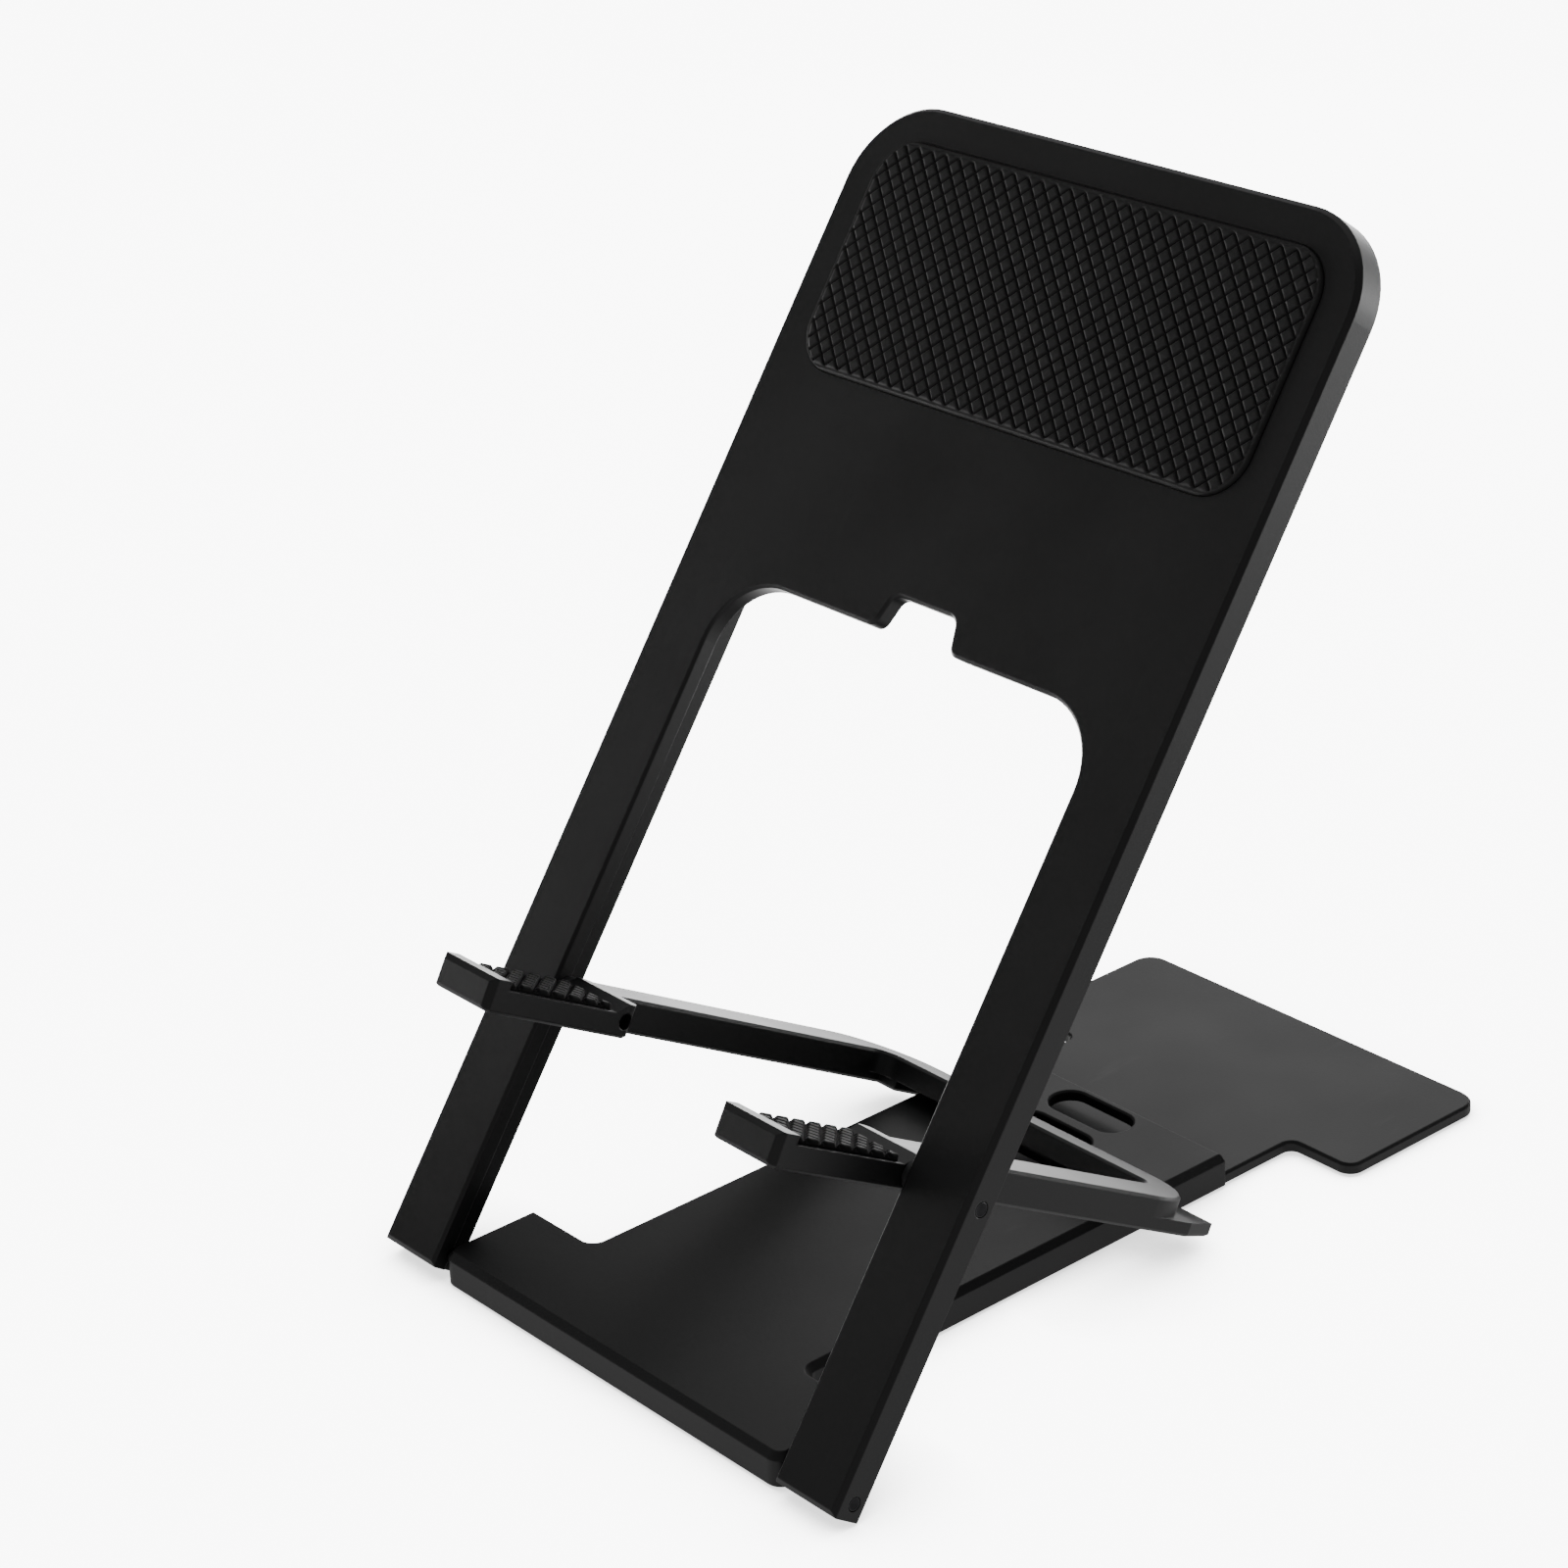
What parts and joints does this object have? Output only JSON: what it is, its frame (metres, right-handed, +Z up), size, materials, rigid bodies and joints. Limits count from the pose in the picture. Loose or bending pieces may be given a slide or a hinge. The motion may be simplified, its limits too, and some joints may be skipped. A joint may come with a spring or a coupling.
{
  "type": "phone stand",
  "caption": "Folding phone stand: a leaning back plate with a window, a slotted base plate, and a hinged prop frame whose padded front ends hold the phone's edge.",
  "frame": {"origin": "on the desk, in the middle of the stand's footprint: the bottom centre of its bounding box", "axes": "+X across the stand, to the right seen from the front; +Y to the rear, away from the phone; +Z up"},
  "size_m": [0.07, 0.1002, 0.1065],
  "materials": {
    "panel_plastic": "matte black moulded plastic, fine grain",
    "base_plastic": "matte black moulded plastic, fine grain",
    "tail_plastic": "matte black moulded plastic, fine grain",
    "prop_plastic": "matte black moulded plastic, fine grain",
    "pad_rubber": "soft black silicone rubber in relief",
    "foot_rubber": "smooth black rubber",
    "pin_steel": "blackened steel pin",
    "washer_plastic": "plain black nylon",
    "tape": "double-sided adhesive tape"
  },
  "bodies": {
    "base": {"base_plate": "base_plastic", "tail_plate": "tail_plastic", "base_foot_left": "foot_rubber", "base_foot_right": "foot_rubber", "tail_foot_left": "foot_rubber", "tail_foot_right": "foot_rubber"},
    "panel": {"back_panel": "panel_plastic", "grip_pad": "pad_rubber", "grip_pad_tape": "tape", "base_pin_left": "pin_steel", "base_pin_right": "pin_steel", "prop_pin_left": "pin_steel", "prop_pin_right": "pin_steel", "prop_washer_left": "washer_plastic", "prop_washer_right": "washer_plastic"},
    "prop": {"prop_frame": "prop_plastic", "hook_pad_left": "pad_rubber", "hook_pad_right": "pad_rubber", "hook_pad_tape_left": "tape", "hook_pad_tape_right": "tape"}
  },
  "joints": [
    {"name": "panel_fold", "type": "hinge", "parent": "base", "child": "panel", "pos_m": [0, -0.0477, 0.00237], "axis": [-1, 0, 0], "range_deg": [0, 54.82]},
    {"name": "prop_fold", "type": "hinge", "parent": "panel", "child": "prop", "pos_m": [0, -0.03094, 0.02615], "axis": [1, 0, 0], "range_deg": [0, 84.2]}
  ],
  "couplings": [
    {"joint": "prop_fold", "follows": "panel_fold", "ratio": 1.5359}
  ]
}
